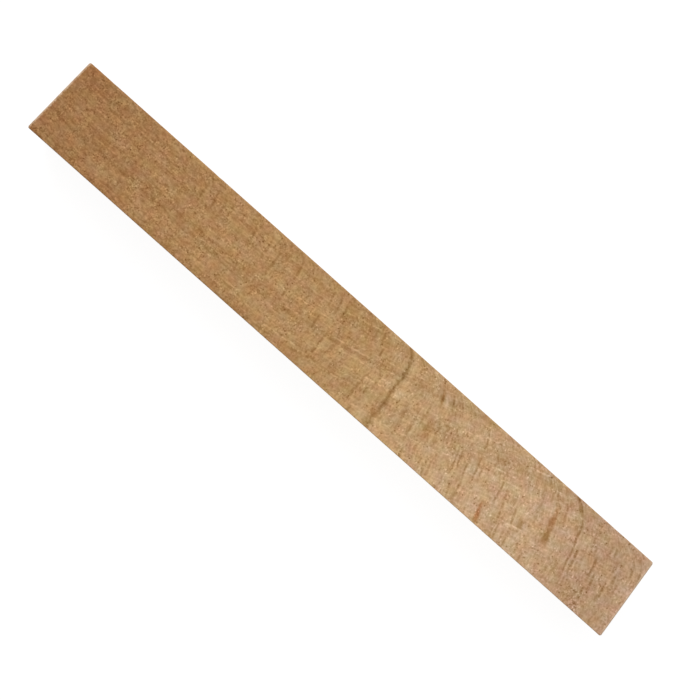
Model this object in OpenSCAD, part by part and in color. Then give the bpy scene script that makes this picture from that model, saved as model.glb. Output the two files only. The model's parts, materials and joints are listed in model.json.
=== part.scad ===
// Beech square batten: one sawn piece of square section with eased arrises,
// both ends crosscut a little out of square. Millimetres, +Z up.
// The length runs along X and the batten lies on its lower face. The origin
// is the middle of the bounding box's bottom.

/* [Section] */
// Side of the square section
side = 10; // [5:0.5:40]
// Radius that eases the four long arrises
arris_r = 0.15; // [0.05:0.05:1]

/* [Length and ends] */
// Length along the centre line
length = 84.3; // [40:0.1:1000]
// Angle of the left-hand crosscut from square, positive where the front is longer
left_cut = 2.6; // [-10:0.1:10]
// Angle of the right-hand crosscut from square, positive where the front is longer
right_cut = 5.7; // [-10:0.1:10]
// Width of the bevel that sanding leaves round each sawn end
end_bevel = 0.2; // [0.05:0.05:1]

/* [Hidden] */
// Steps in a full circle
$fn = 48;
half = side / 2;
// Size of the blocks that stand for the waste beyond a saw cut or a bevel
waste = 4 * side;
// The blank before crosscutting is longer than the finished batten at both ends
blank = length + 2 * side;

// How far an end reaches from the middle of the centre line
function reach(cut) = length / 2 + half * tan(abs(cut)) - end_bevel * sin(abs(cut));

// Square with rounded corners, centred on the origin
module section() {
    square([side, side - 2 * arris_r], center = true);
    square([side - 2 * arris_r, side], center = true);
    for (x = [-1, 1], y = [-1, 1])
        translate([x, y] * (half - arris_r)) circle(arris_r);
}

// Everything in front of the YZ plane, as far as the batten needs
module half_space() {
    translate([0, -waste / 2, -waste / 2]) cube(waste);
}

// What one crosscut and its bevels take off the +X end, with the middle of
// the finished end face at the origin
module end_waste(cut) {
    rotate([0, 0, cut]) {
        half_space();
        // Bevels along the upper and lower arrises
        for (up = [-1, 1])
            translate([0, 0, up * half])
                rotate([0, -up * 45, 0])
                    translate([-end_bevel * cos(45), 0, 0]) half_space();
    }
    // Bevels along the front and back arrises, half way between the two faces
    for (back = [-1, 1])
        translate([-back * half * tan(cut), back * half, 0])
            rotate([0, 0, (cut + back * 90) / 2])
                translate([-end_bevel * cos(45 + back * cut / 2), 0, 0]) half_space();
}

module batten() {
    color("burlywood")
        translate([(reach(left_cut) - reach(right_cut)) / 2, 0, half])
            difference() {
                rotate([90, 0, 90]) linear_extrude(blank, center = true) section();
                translate([length / 2, 0, 0]) end_waste(right_cut);
                mirror([1, 0, 0]) translate([length / 2, 0, 0]) end_waste(left_cut);
            }
}

batten();
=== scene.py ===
"""Looks of the beech square batten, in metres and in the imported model's frame.

The batten was sawn across the trunk, so its fibres run straight up through its thickness. The upper and
lower faces show the growth rings from their ends, crossed by thin pale rays. The long sides show ring lines
and ray flecks, and the two crosscut ends show short dark ray spindles. One solid wood material holds all
three kinds of figure, worked out from the same rings and rays.

Distances in the figure are in millimetres: along is the batten's length, +X, and across is its width, with
positive values at the front, -Y.
"""

import json
import math

import bpy
import numpy as np
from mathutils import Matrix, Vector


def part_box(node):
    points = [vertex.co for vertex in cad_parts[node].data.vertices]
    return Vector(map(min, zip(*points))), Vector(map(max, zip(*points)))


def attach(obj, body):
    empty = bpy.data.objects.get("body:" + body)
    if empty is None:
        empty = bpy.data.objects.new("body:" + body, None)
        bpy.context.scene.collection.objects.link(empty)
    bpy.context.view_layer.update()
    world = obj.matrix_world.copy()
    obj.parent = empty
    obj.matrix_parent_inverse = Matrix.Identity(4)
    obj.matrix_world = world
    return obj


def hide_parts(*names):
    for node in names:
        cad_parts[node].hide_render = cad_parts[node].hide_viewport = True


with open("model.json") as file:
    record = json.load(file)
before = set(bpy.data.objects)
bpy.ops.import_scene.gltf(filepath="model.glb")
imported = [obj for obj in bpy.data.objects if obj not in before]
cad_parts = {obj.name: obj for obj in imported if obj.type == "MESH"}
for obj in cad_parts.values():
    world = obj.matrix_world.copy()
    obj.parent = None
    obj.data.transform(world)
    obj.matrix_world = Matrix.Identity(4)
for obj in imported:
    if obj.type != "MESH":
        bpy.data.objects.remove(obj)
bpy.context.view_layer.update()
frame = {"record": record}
MM = 0.001

# Framing of the photograph
VIEW_WIDTH = 77.57 * MM
VIEW_CENTRE = (0.665 * MM, 0.29 * MM)
VIEW_ROLL = math.radians(41.64)
LENS = 100.0
SENSOR = 36.0

# Sizes of the batten, from the frame
LOW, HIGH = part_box("batten")
HALF = (HIGH.z - LOW.z) / 2
MOUNTS = {mount["name"]: mount for mount in frame["record"]["mounts"]}
# The ends are drawn in by this much, so that their front corners stay inside the box of the solids
END_INSET = 0.007 * MM
RIGHT_X = MOUNTS["right_end"]["pos_m"][0] - END_INSET
LEFT_X = MOUNTS["left_end"]["pos_m"][0] + END_INSET
RIGHT_SKEW = MOUNTS["right_end"]["axis"][1] / MOUNTS["right_end"]["axis"][0]
LEFT_SKEW = MOUNTS["left_end"]["axis"][1] / MOUNTS["left_end"]["axis"][0]

# Edges: the arris radius and the legs of the bevel round each end
ARRIS_R = 0.15 * MM
BEVEL_LEG = 0.2 * MM * math.sin(math.radians(45))

# Fineness of the mesh
ARRIS_STEPS = 3
ACROSS_STEPS = 36
UP_STEPS = 12
BEVEL_STEPS = 2
LENGTH_STEPS = 800

# Rays climb from level at the left to this slope at the right
RAY_SLOPE = 0.28
RAY_TURN = (-27.7, 17.0)
# Further than any place on the batten
FAR = 1000.0
# Growth rings stand square to the length at the left and lean by this slope at the right
RING_SLOPE = 0.30
RING_TURN = (2.7, 16.8)
# Near the back edge all rings bend towards the left
RING_BEND = 1.6
RING_BEND_REACH = 0.95
BACK_EDGE = -5.0

# Dark growth rings, read off the photograph: place along the ring coordinate, the stretch across
# that shows them, and depth
RINGS = (
    (-22.4, -5.0, -3.6, 0.75), (-23.0, -3.8, -1.4, 0.85), (-21.4, -4.4, -1.8, 0.80),
    (-20.2, -3.6, -1.2, 0.90), (-19.2, -3.8, -2.0, 0.75), (-15.7, -4.0, -1.6, 0.90),
    (-15.6, -1.2, 0.8, 0.50), (-13.5, -3.9, -1.6, 0.85), (-12.0, -4.4, -0.3, 0.62),
    (-9.1, -4.2, -2.0, 0.80), (-9.0, -1.0, 0.7, 0.70), (-7.5, -5.2, -3.7, 0.60),
    (-7.4, 0.0, 1.3, 0.45), (-4.3, -4.2, -2.2, 0.50), (-4.3, -1.0, 1.0, 0.75),
    (-3.2, -4.4, -1.9, 0.80), (-2.4, -3.8, -2.4, 0.60), (-2.4, 0.0, 3.3, 0.75),
    (-1.1, -1.0, 2.3, 0.22), (2.0, -4.0, -2.6, 0.60), (3.1, -4.4, -2.7, 0.60),
    (3.6, -3.3, -1.5, 0.80), (3.85, 0.5, 4.4, 0.62), (4.7, 4.0, 5.2, 0.60),
    (8.8, -0.6, 4.0, 0.15), (9.7, 0.4, 2.8, 0.15), (10.95, -0.6, 3.0, 0.78),
    (11.8, -2.2, 1.2, 0.50), (11.4, 3.8, 5.2, 0.75), (12.5, 2.4, 4.6, 0.35),
    (14.4, -4.6, -2.7, 0.75), (13.6, 3.2, 4.8, 0.40), (14.2, 3.0, 5.0, 0.60),
    (14.7, 3.2, 4.9, 0.50), (14.9, -1.4, 0.5, 0.80), (15.4, -1.1, 0.2, 0.60),
    (17.1, 0.0, 2.8, 0.85), (17.6, -0.1, 1.5, 0.65), (18.1, -1.6, -0.7, 0.60),
    (17.8, 3.1, 5.0, 0.60), (18.7, -0.5, 4.6, 0.75), (19.8, -4.3, -1.7, 0.80),
    (19.8, -0.9, 1.7, 0.70), (20.4, -0.5, 1.3, 0.35), (21.7, -2.5, -1.3, 0.55),
    (23.3, -0.9, 2.0, 0.95), (24.2, -0.5, 1.2, 0.55), (24.4, 0.8, 2.8, 0.75),
    (25.4, -0.6, 0.7, 0.55), (26.0, 0.4, 2.4, 0.80), (24.35, 3.1, 4.9, 0.75),
    (24.8, 3.2, 4.9, 0.65), (25.7, 3.0, 4.8, 0.55), (26.2, 3.3, 4.9, 0.55),
    (26.7, -5.2, -4.0, 0.75), (27.4, -5.2, -4.2, 0.60), (28.4, -2.2, 0.6, 0.40),
    (28.6, 4.0, 5.2, 0.60), (29.4, -3.6, -2.6, 0.60), (30.1, -4.5, -3.2, 0.65),
    (31.6, -3.3, -2.1, 0.75), (33.6, -5.2, -3.7, 0.90), (33.8, -3.3, 3.6, 0.92),
    (34.4, -0.9, 2.4, 0.78), (35.85, -3.2, -2.0, 0.80), (36.4, -2.5, -1.1, 0.50),
    (36.8, -1.5, 1.3, 0.95), (37.35, 0.0, 2.2, 1.00), (36.7, 2.3, 3.8, 0.60),
    (38.1, -3.6, -2.4, 0.60), (38.7, -3.5, -2.2, 0.60), (38.95, -0.4, 2.6, 0.75),
    (39.2, -2.1, -1.0, 0.65), (39.7, -1.2, 0.0, 0.90), (41.3, -3.6, -1.6, 0.80),
    (38.65, 1.8, 2.6, 0.80), (40.1, -0.5, 0.7, 0.65), (42.3, -3.4, -1.5, 0.75),
)
RING_WIDTH = 0.15
# How far the listed rings wander from their places
RING_WANDER = 0.07
# The strongest ring, where the wood turns from darker to paler, and the pale band beside it
MAIN_RING = 7.20
MAIN_RING_WIDTH = 0.24
PALE_BAND = 8.0
PALE_BAND_WIDTH = 0.45

# The paler wood beside each listed ring, and how much of the ring's depth it has
FLANK = 0.30
FLANK_SHARE = 0.28

# Stains along the rings, pale where the depth is below 0: place, the stretch across, half width,
# depth and redness
STAINS = (
    (30.4, -2.9, -0.9, 0.30, 0.24, 0.58),
    (30.4, -1.4, 0.6, 0.44, 0.33, 0.36),
    (30.4, 0.3, 1.5, 0.40, 0.40, 0.12),
    (33.4, -5.2, -3.7, 0.26, 0.24, 0.05),
    (27.1, 1.0, 2.3, 0.36, 0.42, 0.05),
    (32.6, 1.9, 3.2, 0.32, 0.17, 0.02),
    (22.05, 2.6, 3.7, 0.20, 0.24, 0.66),
    (22.15, 3.5, 4.8, 0.30, 0.42, 0.62),
    (12.85, -3.8, -2.5, 0.20, 0.36, 0.30),
    (12.9, -0.8, 2.2, 0.50, 0.18, 0.30),
    (6.8, 2.4, 5.2, 0.40, 0.10, 0.06),
    (-32.0, -4.8, -3.4, 0.70, 0.06, 0.20),
    (-31.0, -1.5, -0.5, 0.50, 0.05, 0.20),
    (-32.0, -4.6, -3.2, 0.60, 0.06, 0.50),
    (-21.3, -3.0, -2.0, 0.35, 0.13, 0.20),
    (-20.9, -5.2, -4.2, 0.50, 0.10, 0.30),
    (-39.5, -5.8, -3.0, 2.20, 0.04, 1.00),
    (25.0, -5.8, -3.3, 8.00, 0.06, 0.00),
    (13.5, -3.8, -2.3, 0.30, -0.24, 0.00),
)

# Clear rays: place along the ray coordinate, the stretch along, and strength
RAYS = (
    (11.4, 24.2, 29.0, 1.0), (10.3, 18.8, 21.6, 0.6), (6.3, 21.0, 25.2, 0.7), (3.9, 15.6, 19.3, 0.7),
    (4.4, 23.6, 26.6, 0.8), (0.08, -9.6, -2.8, 0.8), (1.55, -2.1, 3.7, 0.9), (0.12, -22.2, -16.0, 0.8),
    (1.5, -22.3, -15.6, 0.7), (3.37, -14.6, -12.9, 1.0), (4.72, -9.6, -3.2, 0.8), (1.6, -8.8, -5.8, 0.6),
    (2.45, -0.4, 4.5, 0.8), (2.95, 5.3, 7.3, 0.8), (5.3, -0.5, 2.5, 0.6), (3.7, 3.8, 6.2, 0.7),
    (1.9, 4.8, 8.3, 0.9),
)
RAY_WIDTH = 0.10
# The other rays: the gap between them and their width, for broad and for fine ones
BROAD_GAP = 1.2
BROAD_WIDTH = 0.11
FINE_GAP = 0.42
FINE_WIDTH = 0.08

# Where cut fibres are roughest: place along the ring coordinate, the stretch across, and half width
ROUGH = (36.2, 2.5, 5.2, 1.1)

# Dark lines of painted shade beside the rays: place along the ray coordinate, the stretch along, and depth
PAINTED_RAY_SHADES = ((0.85, -31.0, -9.5, 0.55), (0.2, -38.5, -31.0, 0.40), (3.9, -32.5, -30.0, 0.50))
PAINTED_RAY_SHADE_WIDTH = 0.16


def colour(red, green, blue):
    """An opaque linear colour from the 0 to 255 values that a screen shows."""
    def linear(value):
        share = value / 255
        return share / 12.92 if share <= 0.04045 else ((share + 0.055) / 1.055) ** 2.4
    return (linear(red), linear(green), linear(blue), 1.0)


# Ground colour of the wood along the ring coordinate, from the left end to the right end
GROUND = (
    (-42.5, colour(158, 114, 71)),
    (-20.0, colour(174, 132, 86)),
    (3.0, colour(183, 143, 96)),
    (5.6, colour(189, 151, 105)),
    (27.0, colour(202, 166, 128)),
    (36.0, colour(190, 153, 118)),
    (43.0, colour(188, 152, 119)),
)
# Torn fibres at the ends, paler still for a painted highlight on the end bevels, and how far they hide the
# colour under them
PALE_FIBRE_AND_HIGHLIGHT = colour(230, 202, 172)
FIBRE_AND_HIGHLIGHT_SHARE = 0.8

# Shine of the sawn wood, its roughness at middle tone, and the depth that the figure seems to have
SHINE = 0.15
ROUGHNESS = 0.62
FIGURE_DEPTH = 0.03 * MM

# Relief in the mesh: saw ripple, dip of the listed rings, nicks along the arrises and how far in they reach
SAW_RIPPLE = 0.006 * MM
RING_DIP = 0.006 * MM
NICK_DEPTH = 0.05 * MM
NICK_REACH = 0.22 * MM
# Edges sharper than this stay sharp in the shading
SHARP_EDGE = math.radians(30)

# The floor: reach each way, gap under the batten, shade for light, and how strongly and to what share it
# shines white where it is seen directly, so that only a faint shadow is left
FLOOR_REACH = 3.0
FLOOR_GAP = 0.01 * MM
FLOOR_SHADE = (0.85, 0.85, 0.85, 1)
FLOOR_GLOW = 1.14
GLOW_SHARE = 0.8
# The light: strength from all round, and the lamp's size, power and place
ROOM_LIGHT = 0.55
LAMP_SIZE = 0.35
LAMP_POWER = 1.1
LAMP_PLACE = (-0.18, 0.22, 0.36)


class Field:
    """A number that varies over the wood. Arithmetic on it adds Math nodes to its material."""

    def __init__(self, tree, socket):
        self.tree = tree
        self.socket = socket

    def math(self, operation, *others):
        node = self.tree.nodes.new("ShaderNodeMath")
        node.operation = operation
        for socket, value in zip(node.inputs, (self, *others)):
            plug(self.tree, socket, value)
        return Field(self.tree, node.outputs[0])

    def __add__(self, other):
        return self.math("ADD", other)

    def __sub__(self, other):
        return self.math("SUBTRACT", other)

    def __mul__(self, other):
        return self.math("MULTIPLY", other)

    def __neg__(self):
        return self.math("MULTIPLY", -1.0)

    def __rsub__(self, other):
        return (-self).math("ADD", other)

    __radd__ = __add__
    __rmul__ = __mul__


def plug(tree, socket, value):
    """Links a field or socket to an input, or sets the input to a plain value."""
    if isinstance(value, Field):
        value = value.socket
    if isinstance(value, bpy.types.NodeSocket):
        tree.links.new(value, socket)
    else:
        socket.default_value = value


def step(x, low, high):
    """0 below low, 1 above high and smooth in between, for a field or an array."""
    if isinstance(x, Field):
        node = x.tree.nodes.new("ShaderNodeMapRange")
        node.interpolation_type = "SMOOTHSTEP"
        plug(x.tree, node.inputs["Value"], x)
        node.inputs["From Min"].default_value = low
        node.inputs["From Max"].default_value = high
        return Field(x.tree, node.outputs["Result"])
    share = np.clip((x - low) / (high - low), 0, 1)
    return share * share * (3 - 2 * share)


def exponent(x):
    """e to the power of a field or an array."""
    return x.math("EXPONENT") if isinstance(x, Field) else np.exp(x)


def limited(field, low, high):
    """The field, held between low and high."""
    return field.math("MAXIMUM", low).math("MINIMUM", high)


def hump(distance, width):
    """1 at distance 0, falling away on both sides as a bell of that width."""
    share = distance * (1 / width)
    return exponent(-(share * share))


def ray_place(along, across):
    """Coordinate that is the same all along one ray."""
    start, end = RAY_TURN
    width = end - start
    share = limited((along - start) * (1 / width), 0.0, 1.0)
    cube = share * share * share
    climb = (cube - cube * share * 0.5) * (RAY_SLOPE * width)
    straight = limited(along - end, 0.0, FAR) * RAY_SLOPE
    return across + climb + straight


def ring_place(along, across):
    """Coordinate that is the same all along one growth ring."""
    lean = step(along, *RING_TURN) * RING_SLOPE
    bend = exponent((across - BACK_EDGE) * (-1 / RING_BEND_REACH)) * RING_BEND
    return along - lean * across + bend


def vector(tree, x, y, z):
    """A vector socket made of three fields or numbers."""
    node = tree.nodes.new("ShaderNodeCombineXYZ")
    for socket, value in zip(node.inputs, (x, y, z)):
        plug(tree, socket, value)
    return node.outputs[0]


def noise(tree, x, y, z, detail=1.0, roughness=0.5):
    """Smooth noise from about -1 to 1, with one swell per unit of each coordinate."""
    node = tree.nodes.new("ShaderNodeTexNoise")
    node.noise_dimensions = "3D"
    plug(tree, node.inputs["Vector"], vector(tree, x, y, z))
    node.inputs["Scale"].default_value = 1.0
    node.inputs["Detail"].default_value = detail
    node.inputs["Roughness"].default_value = roughness
    return (Field(tree, node.outputs[0]) - 0.5) * 2.0


def strips(tree, place, gap):
    """Uneven strips about one gap wide: distance to the nearest border, and a random number a strip."""
    found = []
    for feature, output in (("DISTANCE_TO_EDGE", "Distance"), ("F1", "Color")):
        node = tree.nodes.new("ShaderNodeTexVoronoi")
        node.voronoi_dimensions = "1D"
        node.feature = feature
        plug(tree, node.inputs["W"], place * (1 / gap))
        node.inputs["Scale"].default_value = 1.0
        node.inputs["Randomness"].default_value = 0.7
        found.append(node.outputs[output])
    parts = tree.nodes.new("ShaderNodeSeparateColor")
    plug(tree, parts.inputs[0], found[1])
    return Field(tree, found[0]) * gap, Field(tree, parts.outputs[0])


def cells(tree, x, y, z):
    """One random point per unit cell: the distance to the nearest, and a random number for it."""
    node = tree.nodes.new("ShaderNodeTexVoronoi")
    plug(tree, node.inputs["Vector"], vector(tree, x, y, z))
    node.inputs["Scale"].default_value = 1.0
    parts = tree.nodes.new("ShaderNodeSeparateColor")
    plug(tree, parts.inputs[0], node.outputs["Color"])
    return Field(tree, node.outputs["Distance"]), Field(tree, parts.outputs[0])


def bar(place, across, centre, start, stop, width):
    """1 on a line at that centre, between start and stop along it, and 0 away from it."""
    aside = (place - centre) * (1 / width)
    beyond = (across - (start + stop) / 2) * (2 / (stop - start))
    aside = aside * aside
    beyond = beyond * beyond
    return exponent(-(aside * aside + beyond * beyond))


def listed_figure(points, on_side):
    """Ring depth, stain depth and stain redness from the lists, at each point. The points are in metres."""
    across = -points[:, 1] / MM
    rings = ring_place(points[:, 0] / MM, across) + RING_WANDER * waves(points, 2.2 * MM, seed=11)
    shade = np.zeros(len(points))
    for place, start, stop, depth in RINGS:
        cut_across = bar(rings, across, place, start, stop, RING_WIDTH)
        cut_across -= bar(rings, across, place + FLANK, start, stop, RING_WIDTH) * FLANK_SHARE
        shade += depth * np.where(on_side, hump(rings - place, RING_WIDTH), cut_across)
    stain = np.zeros(len(points))
    red = np.zeros(len(points))
    for place, start, stop, width, depth, redness in STAINS:
        spot = bar(rings, across, place, start, stop, width) * depth
        stain += np.where(on_side, 0, spot)
        red += np.where(on_side, 0, spot * redness)
    return np.stack([shade, stain, red], 1)


def end_grain(tree, along, across, height, listed):
    """Tone of the upper and lower faces, where the fibres are cut straight across."""
    level = height * 0.08
    wander = noise(tree, along * 0.09, across * 0.2, level) * 0.7
    wobble = noise(tree, along * 1.1, across * 0.7, level + 7.0) * 0.09
    listed_rays = ray_place(along, across) + wobble * 0.6
    rays = listed_rays + wander + wobble * 0.4
    to_ray, strip = strips(tree, rays, BROAD_GAP)
    to_fine, fine_strip = strips(tree, rays + 3.3, FINE_GAP)
    drift = noise(tree, along * 0.5, across * 0.7, level + 15.0) * 0.22
    rings = ring_place(along, across) + drift + (strip - 0.5) * 0.10 + (fine_strip - 0.5) * 0.06
    right = step(along, -30.0, 10.0)
    patch = step(noise(tree, along * 0.8, across * 0.9, level + 3.0), -0.30, 0.30)

    # Broad rays: thin pale rows of beads that come and go along their length
    seen = step(noise(tree, along * 0.16, rays * 0.9, level + 1.0), -0.25, 0.20)
    beads = noise(tree, along * 2.6, rays * 3.0, level + 9.0)
    on_ray = hump(to_ray, BROAD_WIDTH)
    broad = on_ray * (seen * 0.8 + 0.2) * (beads * 0.42 + 0.10 - right * 0.03)
    for place, start, stop, strength in RAYS:
        listed_ray = bar(listed_rays, along, place, start, stop, RAY_WIDTH)
        broad = broad + listed_ray * (beads * 0.6 + strength * 0.22)
    fine = hump(to_fine, FINE_WIDTH) * (1.0 - patch * 0.5) * (beads * 0.30 + 0.08)

    # Growth rings: the listed ones, and short bars that break off at the rays
    uneven = (0.34 + right * 0.05 + beads * 0.22 + (strip - 0.5) * 0.16) * (1.0 - on_ray * 0.7)
    to_main = rings - drift * 0.6 - MAIN_RING
    main_depth = 0.42 + beads * 0.24 + hump(across - 1.2, 1.2) * 0.10 - step(across, 1.8, 3.2) * 0.12
    main = hump(to_main, MAIN_RING_WIDTH) * main_depth
    common = noise(tree, rings * 0.9, across * 0.3, level + 11.0)
    own = noise(tree, rings * 1.7, strip * 60.0, level + 13.0)
    dash = common * 0.5 + own
    bars = step(dash, 0.08, 0.36) * (right * 0.07 + 0.03)
    pale = step(-dash, 0.10, 0.40) * (right * 0.05 + 0.01)
    light_band = hump(rings - PALE_BAND, PALE_BAND_WIDTH) * 0.12

    # Streaks along the rays, strongest at the left, and the listed lines of painted shade beside the rays
    streaks = noise(tree, along * 1.7, rays * 2.7, level + 5.0)
    streaks_and_ray_shade = streaks * (0.38 - right * 0.22)
    for place, start, stop, depth in PAINTED_RAY_SHADES:
        # Each listed line darkens the tone as painted shade, as if the ray beside it stood up from the face
        painted_ray_shade = bar(rays, along, place, start, stop, PAINTED_RAY_SHADE_WIDTH)
        streaks_and_ray_shade = streaks_and_ray_shade - painted_ray_shade * (depth * 0.3)

    # Speckle of pores and cut fibres, with smoother patches between
    grain = noise(tree, along * 3.0, across * 3.0, height * 0.4, 1.0, 0.8)
    to_dot, luck = cells(tree, along * 3.1, across * 3.1, height * 0.4)
    dots = (1.0 - step(to_dot, 0.10, 0.42)) * (luck - 0.48 - right * 0.04) * (0.25 + patch * 1.20)
    rough_place, rough_start, rough_stop, rough_width = ROUGH
    rough = bar(rings, across, rough_place, rough_start, rough_stop, rough_width)
    fine_grain = noise(tree, along * 5.5, across * 5.5, height * 0.4, 0.0) * (0.42 - right * 0.38)
    # Short dashes along the rings, another set in each strip
    short = noise(tree, rings * 4.6, across * 2.1 + strip * 40.0, height * 0.4, 0.0)
    dashes = short * (right * 0.18 + 0.04)
    speckle = (grain * (0.12 + patch * 0.36) + dots) * (1.0 + rough * 1.5) - rough * 0.04
    speckle = speckle + fine_grain * (0.30 + patch * 0.70) + dashes
    cloud = noise(tree, along * 0.33, across * 0.45, level + 2.0) * 0.10
    dark = main + bars + listed * uneven
    rows = (strip - 0.5) * 0.09 + (fine_strip - 0.5) * 0.10
    return broad + fine + pale + light_band + streaks_and_ray_shade + rows + speckle + cloud - dark


def side_grain(tree, along, across, height, listed):
    """Tone of the long sides, which are cut along the rays."""
    fibre = noise(tree, along * 6.0, across, height * 0.22, 2.0) * 0.26
    broad_fibre = noise(tree, along * 1.3, across, height * 0.1, 1.0) * 0.20
    lines = listed * (fibre * 0.3 + 0.12)
    patches = noise(tree, along * 0.32, across, height * 1.3, 3.0)
    flecks = step(patches, 0.10, 0.28) * 0.13
    pores, _ = cells(tree, along * 5.0, across, height * 0.8)
    pits = (1.0 - step(pores, 0.05, 0.25)) * -0.10
    return fibre + broad_fibre - lines - flecks + pits


def crosscut_grain(tree, along, across, height):
    """Tone of the two crosscut ends, where the rays show as upright spindles."""
    fibre = noise(tree, across * 7.0, along, height * 0.25, 2.0) * 0.14
    tall, _ = cells(tree, across * 2.5, along * 0.2, height * 0.45)
    short, _ = cells(tree, across * 4.2, along * 0.2, height * 1.1)
    dark = (1.0 - step(tall, 0.12, 0.30)) * 0.30 + (1.0 - step(short, 0.10, 0.30)) * 0.14
    marks = noise(tree, across * 0.25, along, height * 2.6, 1.0) * 0.05
    return fibre - dark + marks


def facing(tree):
    """Shares of the surface that face along X, along Y and along Z."""
    geometry = tree.nodes.new("ShaderNodeNewGeometry")
    parts = tree.nodes.new("ShaderNodeSeparateXYZ")
    plug(tree, parts.inputs[0], geometry.outputs["Normal"])
    squares = [Field(tree, part) * Field(tree, part) for part in parts.outputs]
    return [step(square, 0.45, 0.60) for square in squares]


def beech():
    """Solid beech with rings, rays and stains, pale at the end bevels from torn fibres and a painted
    highlight.
    """
    material = bpy.data.materials.new("beech")
    material.use_nodes = True
    tree = material.node_tree
    shader = tree.nodes["Principled BSDF"]

    coordinates = tree.nodes.new("ShaderNodeTexCoord")
    place = tree.nodes.new("ShaderNodeSeparateXYZ")
    plug(tree, place.inputs[0], coordinates.outputs["Object"])
    along = Field(tree, place.outputs[0]) * (1 / MM)
    across = Field(tree, place.outputs[1]) * (-1 / MM)
    height = Field(tree, place.outputs[2]) * (1 / MM)

    figure = tree.nodes.new("ShaderNodeAttribute")
    figure.attribute_name = "figure"
    channels = tree.nodes.new("ShaderNodeSeparateXYZ")
    plug(tree, channels.inputs[0], figure.outputs["Vector"])
    listed, stain, stain_red = (Field(tree, channel) for channel in channels.outputs)

    to_end, to_side, to_face = facing(tree)
    tone = (
        end_grain(tree, along, across, height, listed) * to_face
        + side_grain(tree, along, across, height, listed) * to_side
        + crosscut_grain(tree, along, across, height) * to_end
    )

    # Patches of warmer and cooler wood, and the stains
    rings = ring_place(along, across)
    to_right = RIGHT_X / MM + across * RIGHT_SKEW - along
    to_left = along - across * LEFT_SKEW - LEFT_X / MM
    tone = tone - stain + (1.0 - step(to_right, 0.8, 1.5)) * 0.08
    # The back is a little paler in the left half, and the front from there to near the right end
    turn = step(along, -14.0, 10.0)
    tone = tone + across * 0.012 * (turn * (2.0 - step(along, 28.0, 36.0)) - 1.0)
    redness = noise(tree, along * 0.8, across * 0.8, height * 0.2, 0.0) * 0.14 + stain_red
    blueness = noise(tree, along * 0.7 + 40.0, across * 0.7, height * 0.2, 0.0) * 0.17 - stain * 0.3

    ramp = tree.nodes.new("ShaderNodeValToRGB")
    first, last = GROUND[0][0], GROUND[-1][0]
    while len(ramp.color_ramp.elements) < len(GROUND):
        ramp.color_ramp.elements.new(0.5)
    for element, (where, shown) in zip(ramp.color_ramp.elements, GROUND):
        element.position = (where - first) / (last - first)
        element.color = shown
    plug(tree, ramp.inputs[0], (rings - first) * (1 / (last - first)))
    ground = tree.nodes.new("ShaderNodeSeparateColor")
    plug(tree, ground.inputs[0], ramp.outputs[0])

    # The light grains stay soft, dark tones are browner and light tones are creamier
    light = tone.math("MAXIMUM", 0.0)
    dark = tone.math("MINIMUM", 0.0)
    tone = tone - light * light * 0.5
    green = tone * 1.20 + dark * 0.10 - redness
    blue = tone * 1.52 + dark * 0.42 - redness * 1.2 + blueness
    powers = (tone, green, blue)
    shades = [Field(tree, channel) * exponent(power) for channel, power in zip(ground.outputs, powers)]
    mixed = tree.nodes.new("ShaderNodeCombineColor")
    for socket, shade in zip(mixed.inputs, shades):
        plug(tree, socket, shade)

    # Pale torn fibres and painted highlight on the end bevels, mostly where fibres come out above and below
    edge = to_right.math("MINIMUM", to_left)
    ragged = noise(tree, along * 1.5, across * 3.0, height * 3.0, 2.0) * 0.22
    tufts = step(noise(tree, along * 0.8, across * 1.3, height * 0.3), -0.35, 0.35)
    on_fibre_ends = step((height - HALF / MM).math("ABSOLUTE"), 4.6, 4.85)
    torn_fibre_and_highlight = (1.0 - step(edge + ragged, 0.10, 0.30)) * (1.0 - to_end)
    torn_fibre_and_highlight = torn_fibre_and_highlight * (tufts * 0.6 + 0.4) * (on_fibre_ends * 0.85 + 0.15)
    # The fibre colour is paler than the fibres are, as a painted highlight against the shade of the tilted
    # bevels
    fibre_and_highlight_mix = tree.nodes.new("ShaderNodeMix")
    fibre_and_highlight_mix.data_type = "RGBA"
    plug(tree, fibre_and_highlight_mix.inputs[0], torn_fibre_and_highlight * FIBRE_AND_HIGHLIGHT_SHARE)
    plug(tree, fibre_and_highlight_mix.inputs[6], mixed.outputs[0])
    fibre_and_highlight_mix.inputs[7].default_value = PALE_FIBRE_AND_HIGHLIGHT
    plug(tree, shader.inputs["Base Color"], fibre_and_highlight_mix.outputs[2])

    shader.inputs["Specular IOR Level"].default_value = SHINE
    plug(tree, shader.inputs["Roughness"], ROUGHNESS - tone * 0.25)
    bump = tree.nodes.new("ShaderNodeBump")
    bump.inputs["Strength"].default_value = 0.6
    bump.inputs["Distance"].default_value = FIGURE_DEPTH
    plug(tree, bump.inputs["Height"], tone)
    plug(tree, shader.inputs["Normal"], bump.outputs[0])
    return material


def waves(points, size, seed, count=24):
    """Random smooth swells from about -1 to 1 over the points, in metres, each about one size long."""
    draw = np.random.default_rng(seed)
    directions = draw.normal(size=(count, 3))
    directions *= (2 * math.pi / size) / np.linalg.norm(directions, axis=1)[:, None]
    phases = draw.uniform(0, 2 * math.pi, count)
    total = np.zeros(len(points))
    for direction, phase in zip(directions, phases):
        total += np.cos(points @ direction + phase)
    return total / math.sqrt(2 * count)


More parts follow.
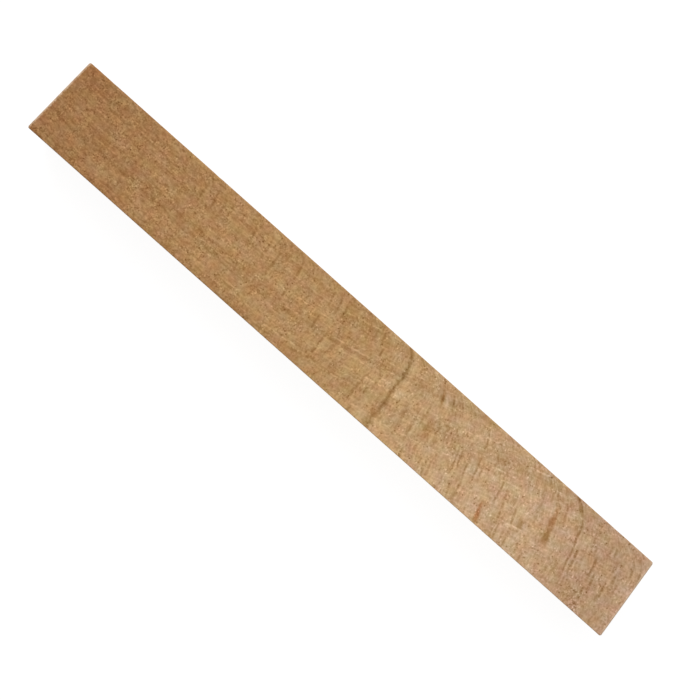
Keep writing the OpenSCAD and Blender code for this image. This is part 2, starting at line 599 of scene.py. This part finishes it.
def relief(points, rings):
    """Depth below the flat faces of each point, in metres: wear along the arrises, rings and saw ripple."""
    y, z = points[:, 1], points[:, 2]
    y_gap = HALF - np.abs(y)
    z_gap = HALF - np.abs(z - HALF)
    on_arris = np.exp(-((y_gap + z_gap) / NICK_REACH) ** 2)
    nicks = np.clip(waves(points, 2.3 * MM, seed=3) - 0.9, 0, 1)
    nicks += 0.25 * np.clip(waves(points, 9 * MM, seed=4), 0, 1)
    swell = 0.5 + 0.25 * waves(points, 1.1 * MM, seed=1) + 0.25 * waves(points, 0.6 * MM, seed=2)
    depth = SAW_RIPPLE * np.clip(swell, 0, 1.5)
    depth += RING_DIP * np.clip(rings, 0, 1)
    depth += NICK_DEPTH * on_arris * nicks
    return depth


def side_places(steps):
    """Places along one side of the section, corner to corner, set close round the arrises."""
    straight = HALF - ARRIS_R
    angles = [math.radians(45) * k / ARRIS_STEPS for k in range(1, ARRIS_STEPS + 1)]
    arc = [straight + ARRIS_R * math.tan(angle) for angle in angles]
    middle = np.linspace(-straight, straight, steps + 1)
    return np.array([-place for place in reversed(arc)] + list(middle) + arc)


def rounded(a, b):
    """Points of the square section moved inwards at its corners, on to the arris arcs."""
    straight = HALF - ARRIS_R
    past_a = np.maximum(np.abs(a) - straight, 0)
    past_b = np.maximum(np.abs(b) - straight, 0)
    reach = np.hypot(past_a, past_b)
    both = (past_a > 0) & (past_b > 0)
    scale = np.where(both, np.maximum(past_a, past_b) / np.where(both, reach, 1), 1)
    return (
        np.where(both, np.sign(a) * (straight + past_a * scale), a),
        np.where(both, np.sign(b) * (straight + past_b * scale), b),
    )


def end_x(right, y):
    """Place of an end face along the length, at each place across it."""
    return RIGHT_X - RIGHT_SKEW * y if right else LEFT_X - LEFT_SKEW * y


def batten_mesh():
    """The batten's skin: loops round the section from end to end, with a grid over each end."""
    wide, tall = side_places(ACROSS_STEPS), side_places(UP_STEPS)
    columns, rows = len(wide) - 1, len(tall) - 1
    grid_a, grid_b = rounded(*np.meshgrid(wide, tall, indexing="ij"))
    rim = [(i, 0) for i in range(columns)] + [(columns, j) for j in range(rows)]
    rim += [(i, rows) for i in range(columns, 0, -1)] + [(0, j) for j in range(rows, 0, -1)]
    rim_a = np.array([grid_a[i, j] for i, j in rim])
    rim_b = np.array([grid_b[i, j] for i, j in rim])

    # Loops of points round the batten, from the left bevel along the faces to the right bevel
    insets = [BEVEL_LEG * (1 - k / BEVEL_STEPS) for k in range(BEVEL_STEPS)]
    loops = []
    for inset in insets:
        y, z = (side * (HALF - inset) / HALF for side in (rim_a, rim_b))
        loops.append((end_x(False, y) + BEVEL_LEG - inset, y, z))
    for share in np.linspace(0, 1, LENGTH_STEPS + 1):
        start = end_x(False, rim_a) + BEVEL_LEG
        stop = end_x(True, rim_a) - BEVEL_LEG
        loops.append((start + (stop - start) * share, rim_a, rim_b))
    for inset in reversed(insets):
        y, z = (side * (HALF - inset) / HALF for side in (rim_a, rim_b))
        loops.append((end_x(True, y) - BEVEL_LEG + inset, y, z))

    points = [np.stack(loop, 1) for loop in loops]
    around = len(rim)
    faces = []
    for k in range(len(loops) - 1):
        for i in range(around):
            j = (i + 1) % around
            faces.append((k * around + i, k * around + j, (k + 1) * around + j, (k + 1) * around + i))

    total = len(loops) * around
    shrink = (HALF - BEVEL_LEG) / HALF
    inner = [(i, j) for i in range(1, columns) for j in range(1, rows)]
    for right in (False, True):
        y = np.array([grid_a[i, j] for i, j in inner]) * shrink
        z = np.array([grid_b[i, j] for i, j in inner]) * shrink
        points.append(np.stack([end_x(right, y), y, z], 1))
        base = (len(loops) - 1) * around if right else 0
        numbers = {cell: total + k for k, cell in enumerate(inner)}
        numbers.update({cell: base + k for k, cell in enumerate(rim)})
        total += len(inner)
        for i in range(columns):
            for j in range(rows):
                face = [numbers[cell] for cell in ((i, j), (i + 1, j), (i + 1, j + 1), (i, j + 1))]
                faces.append(face if right else face[::-1])

    points = np.concatenate(points)
    points[:, 2] += HALF
    mesh = bpy.data.meshes.new("sawn_batten")
    mesh.from_pydata(points.tolist(), [], faces)
    mesh.update()
    normals = np.empty(len(points) * 3, np.float32)
    mesh.vertex_normals.foreach_get("vector", normals)
    normals = normals.reshape(-1, 3)
    figure = listed_figure(points, np.abs(normals[:, 1]) > 0.8)
    points -= normals * relief(points, figure[:, 0])[:, None]
    mesh.vertices.foreach_set("co", points.astype(np.float32).ravel())
    mesh.update()
    stored = mesh.attributes.new("figure", "FLOAT_VECTOR", "POINT")
    stored.data.foreach_set("vector", figure.astype(np.float32).ravel())
    mesh.shade_smooth()
    mesh.set_sharp_from_angle(angle=SHARP_EDGE)
    return mesh


def batten():
    """The one visible piece, in place of the plain solid."""
    piece = bpy.data.objects.new("sawn_batten", batten_mesh())
    bpy.context.scene.collection.objects.link(piece)
    piece.data.materials.append(beech())
    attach(piece, "root")
    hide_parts("batten")
    return piece


def seen_directly(tree):
    """1 for what the camera, a reflection or clear glass shows, and 0 for light on the object."""
    path = tree.nodes.new("ShaderNodeLightPath")
    kinds = ("Is Camera Ray", "Is Glossy Ray", "Is Transmission Ray")
    camera, glossy, through = (Field(tree, path.outputs[kind]) for kind in kinds)
    return camera.math("MAXIMUM", glossy).math("MAXIMUM", through)


def floor():
    """Plain white floor that keeps a soft part of the batten's shadow."""
    mesh = bpy.data.meshes.new("floor")
    corners = [(x * FLOOR_REACH, y * FLOOR_REACH, 0) for x, y in ((-1, -1), (1, -1), (1, 1), (-1, 1))]
    mesh.from_pydata(corners, [], [(0, 1, 2, 3)])
    ground = bpy.data.objects.new("floor", mesh)
    ground.location.z = -FLOOR_GAP
    bpy.context.scene.collection.objects.link(ground)
    material = bpy.data.materials.new("floor_white")
    material.use_nodes = True
    tree = material.node_tree
    tree.nodes.clear()
    shaded = tree.nodes.new("ShaderNodeBsdfDiffuse")
    shaded.inputs["Color"].default_value = FLOOR_SHADE
    plain = tree.nodes.new("ShaderNodeEmission")
    plain.inputs["Strength"].default_value = FLOOR_GLOW
    mix = tree.nodes.new("ShaderNodeMixShader")
    plug(tree, mix.inputs[0], seen_directly(tree) * GLOW_SHARE)
    tree.links.new(shaded.outputs[0], mix.inputs[1])
    tree.links.new(plain.outputs[0], mix.inputs[2])
    output = tree.nodes.new("ShaderNodeOutputMaterial")
    tree.links.new(mix.outputs[0], output.inputs["Surface"])
    mesh.materials.append(material)


def studio():
    """Even light from all round, with one large soft lamp above and to the back left."""
    world = bpy.data.worlds.new("studio")
    bpy.context.scene.world = world
    world.use_nodes = True
    tree = world.node_tree
    background = tree.nodes["Background"]
    background.inputs["Color"].default_value = (1, 1, 1, 1)
    plug(tree, background.inputs["Strength"], ROOM_LIGHT + seen_directly(tree) * (1 - ROOM_LIGHT))

    lamp = bpy.data.lights.new("soft_lamp", "AREA")
    lamp.shape = "SQUARE"
    lamp.size = LAMP_SIZE
    lamp.energy = LAMP_POWER
    holder = bpy.data.objects.new("soft_lamp", lamp)
    bpy.context.scene.collection.objects.link(holder)
    holder.location = LAMP_PLACE
    holder.rotation_mode = "QUATERNION"
    holder.rotation_quaternion = holder.location.to_track_quat("Z", "Y")


def camera():
    """Looks straight down on the upper face, rolled as the photograph shows the batten."""
    data = bpy.data.cameras.new("camera")
    data.lens = LENS
    data.sensor_width = SENSOR
    data.clip_start = 0.01
    data.clip_end = 10
    eye = bpy.data.objects.new("camera", data)
    distance = VIEW_WIDTH * LENS / SENSOR
    eye.location = (*VIEW_CENTRE, HIGH.z + distance)
    eye.rotation_euler = (0, 0, VIEW_ROLL)
    bpy.context.scene.collection.objects.link(eye)
    bpy.context.scene.camera = eye


batten()
floor()
studio()
camera()
bpy.context.scene.view_settings.view_transform = "Standard"
